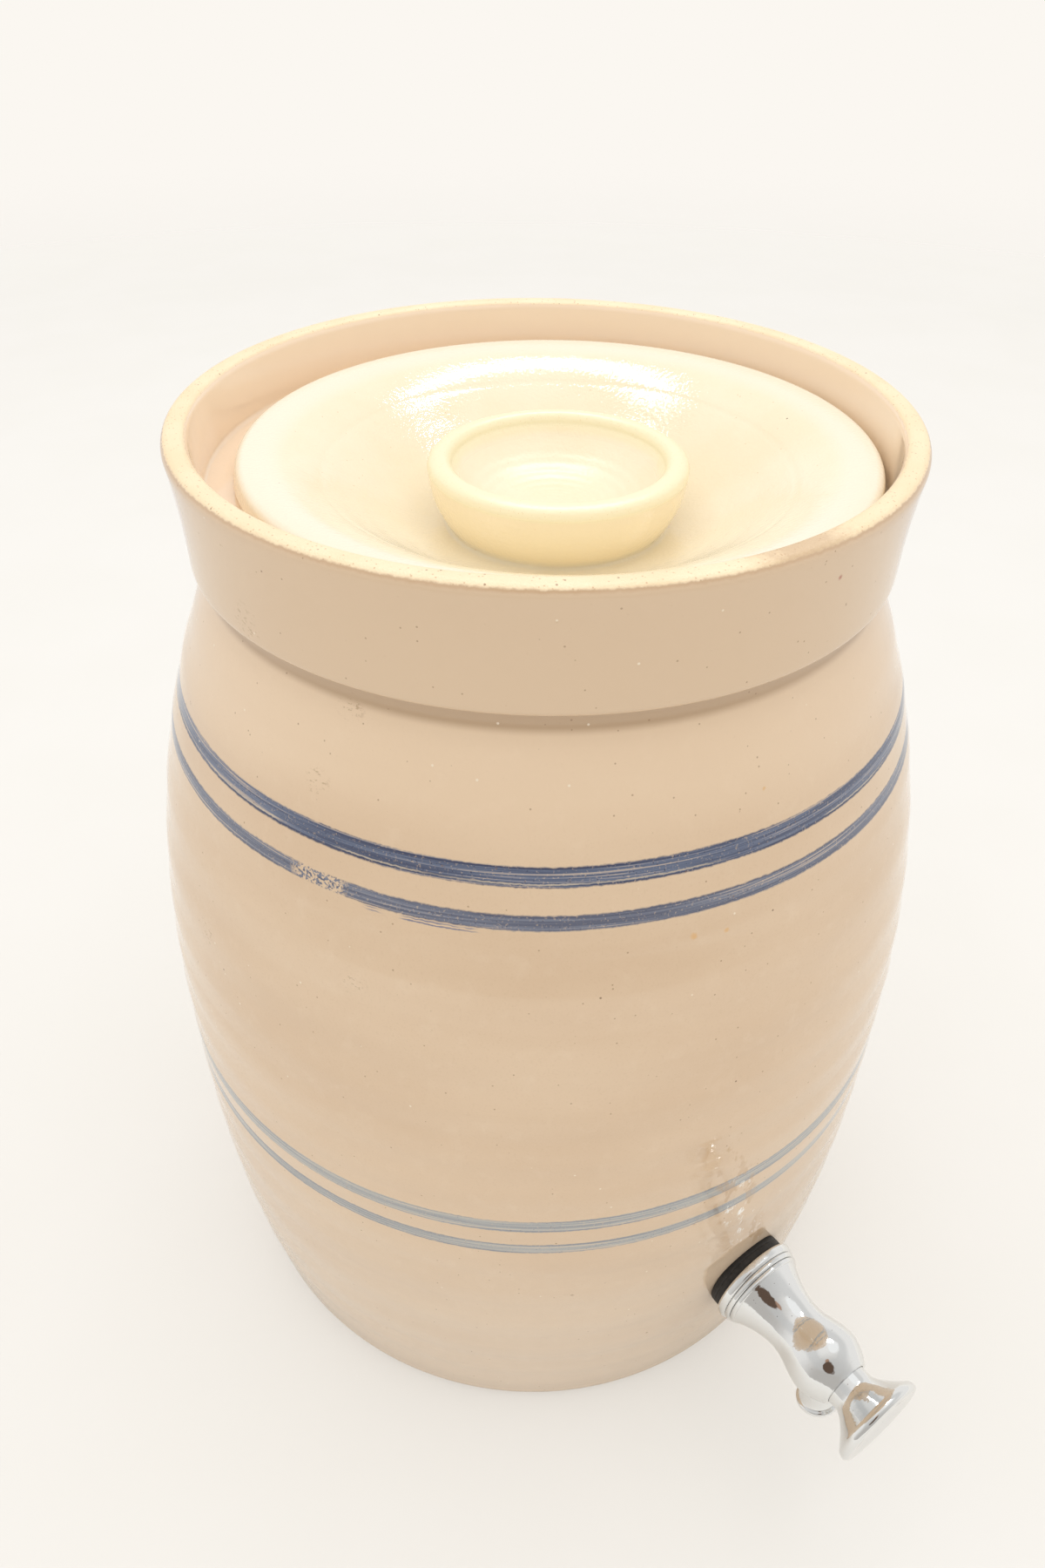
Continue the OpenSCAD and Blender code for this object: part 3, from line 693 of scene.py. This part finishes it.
# The spout's own frame: its +Z runs down the spout from the tap's axis
spout_tilt = Matrix.Rotation(math.radians(90 - spout_lean), 4, "X")
spout_frame = tap_frame @ Matrix.Translation((0, 0, spout_s / 1000)) @ spout_tilt
root, root_s, lip_r = np.linspace(0, 1, 10), 8.5, 1.1
spout_profile = np.vstack(
    [
        [[0, root_s], [spout_root_r, root_s]],
        run(spout_r + (spout_root_r - spout_r) * (1 - root) ** 2.4, root_s + 1 + 8 * root),
        [[spout_r, spout_len - 5], [spout_r, spout_len - 2.6]],
        oval(spout_r, spout_len - lip_r, lip_r, lip_r, -75, 90, 12),
        [[spout_r - 0.7, spout_len], [spout_bore_r + 0.5, spout_len], [spout_bore_r, spout_len - 0.4]],
        [[spout_bore_r, root_s + 1.5], [0, root_s + 1.5]],
    ]
)
spout = make_piece("spout", lathe(spout_profile, 72), frame_of=spout_frame)
cut_with(tap, spout, "UNION", 38)

# The chamber and the mouth are bored again, because the spout's root reaches into them
chamber_low, past_mouth, past_spout = 20, mouth_s + 2, spout_len + 1
slide = np.array(
    [
        [0, chamber_low],
        [chamber_r, chamber_low],
        [chamber_r, gland_s],
        [mouth_bore_r, gland_s],
        [mouth_bore_r, past_mouth],
        [0, past_mouth],
    ]
)
cut_with(tap, make_piece("slide", lathe(slide, 144), frame_of=tap_frame), "DIFFERENCE", 38)
bore = np.array([[0, 0], [spout_bore_r, 0], [spout_bore_r, past_spout], [0, past_spout]])
cut_with(tap, make_piece("bore", lathe(bore, 72), frame_of=spout_frame), "DIFFERENCE", 38)

plating, metal, place = new_finish("chrome_plating")
metal.inputs["Metallic"].default_value = 1.0
pitting = place.grains(620, 0.12, 0.16)
hazy = place.noise(350, 3, 0.6)
tarnish = (pitting * 0.8).mix(tone(234, 235, 235), tone(92, 84, 78))
tarnish.feed(metal, "Base Color")
(0.035 + hazy * 0.05 + pitting * 0.3).feed(metal, "Roughness")
(place.noise(190, 2) * 0.8 + place.noise(420, 2) * 0.3).bump(0.00012).feed(metal, "Normal")
tap.data.materials.clear()
tap.data.materials.append(plating)
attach(tap, "pot")
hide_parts("tap_body")

# ---------------------------------------------------------------------------------------------
# The push button: a turned trumpet on a hollow neck, plated like the tap. It slides in the
# tap's mouth and carries the stem, the rubber disc and its clip.
# ---------------------------------------------------------------------------------------------
flare = np.linspace(0, 1, 30)
button_s, button_r, button_edge, flare_s, flare_end_s = 63.5, 16.3, 1.6, 51.4, 60.3
sleeve_s, sleeve_r, sleeve_bore_r, sleeve_edge, web_s = 46.8, 7.7, 6.4, 0.3, 54.6
face_r, face_dish = button_r - button_edge, 1.6
button_profile = np.vstack(
    [
        [[0, web_s], [sleeve_bore_r, web_s], [sleeve_bore_r, sleeve_s + sleeve_edge]],
        [[sleeve_bore_r + sleeve_edge, sleeve_s], [sleeve_r - sleeve_edge, sleeve_s]],
        [[sleeve_r, sleeve_s + sleeve_edge], [sleeve_r, flare_s - 2.4], [sleeve_r, flare_s - 1]],
        run(sleeve_r + 8.1 * flare**1.45, flare_s + (flare_end_s - flare_s) * flare),
        oval(face_r, button_s - button_edge, button_edge, button_edge, -30, 90, 14),
        run(face_r * (1 - flare[1:]), button_s - face_dish * ease(flare[1:])),
    ]
)
trumpet = lathe(button_profile, 144)
button = make_piece("push_button_trumpet", trumpet, plating, frame_of=tap_frame, sharp=38)
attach(button, "button")
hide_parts("push_button")

# ---------------------------------------------------------------------------------------------
# The gaskets: black rubber washers on both sides of the wall. The outer one is squeezed by the
# flange, so it bulges a little, and shows a thin moulding line half way.
# ---------------------------------------------------------------------------------------------
gasket_r, gasket_bore_r, gasket_round, half_way = 15.0, 8.05, 0.5, gasket_t / 2
edge_r = gasket_r - gasket_round - 0.1
moulding_line = [
    [gasket_r - 0.03, half_way - 0.65],
    [gasket_r, half_way - 0.15],
    [gasket_r - 0.1, half_way],
    [gasket_r, half_way + 0.15],
    [gasket_r - 0.03, half_way + 0.65],
]
gasket_profile = np.vstack(
    [
        [[gasket_bore_r, 0], [edge_r - 0.2, 0]],
        oval(edge_r, gasket_round, gasket_round, gasket_round, -80, 0, 5),
        moulding_line,
        oval(edge_r, gasket_t - gasket_round, gasket_round, gasket_round, 0, 80, 5),
        [[edge_r - 0.2, gasket_t], [gasket_bore_r, gasket_t]],
    ]
)
gasket = make_piece("outer_rubber", lathe(gasket_profile, 128, ring=True), frame_of=tap_frame)
rubber, skin, place = new_finish("black_rubber")
place.noise(700, 3).rise(0.3, 0.7).mix(tone(30, 27, 25), tone(44, 40, 37)).feed(skin, "Base Color")
(0.5 + place.noise(900, 2) * 0.2).feed(skin, "Roughness")
place.noise(2600, 2).bump(0.00003).feed(skin, "Normal")
gasket.data.materials.append(rubber)
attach(gasket, "pot")
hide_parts("outer_gasket")


def recoat(material, *names):
    """Gives CAD nodes that keep their own shape a better material."""
    for name in names:
        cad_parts[name].data.materials.clear()
        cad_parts[name].data.materials.append(material)


recoat(rubber, "inner_gasket", "stem_seal", "valve_disc")

# ---------------------------------------------------------------------------------------------
# The fastening and the valve: a moulded nut and gland, and stainless washer, stem, clip and
# spring. They show only with the lid off, or not at all.
# ---------------------------------------------------------------------------------------------
nylon, skin, place = new_finish("white_nylon")
place.noise(260, 3).rise(0.3, 0.7).mix(tone(228, 226, 219), tone(236, 234, 228)).feed(skin, "Base Color")
(0.38 + place.noise(500, 2) * 0.12).feed(skin, "Roughness")
place.noise(1500, 2).bump(0.00003).feed(skin, "Normal")
recoat(nylon, "gland", "lock_nut")

steel, metal, place = new_finish("stainless_steel")
metal.inputs["Metallic"].default_value = 1.0
brushed = place.stretch(2600, 90, 90).noise(1, 2)
brushed.rise(0.3, 0.7).mix(tone(186, 188, 190), tone(203, 204, 205)).feed(metal, "Base Color")
(0.24 + brushed * 0.16).feed(metal, "Roughness")
recoat(steel, "clamp_washer", "valve_stem", "disc_clip", "return_spring")
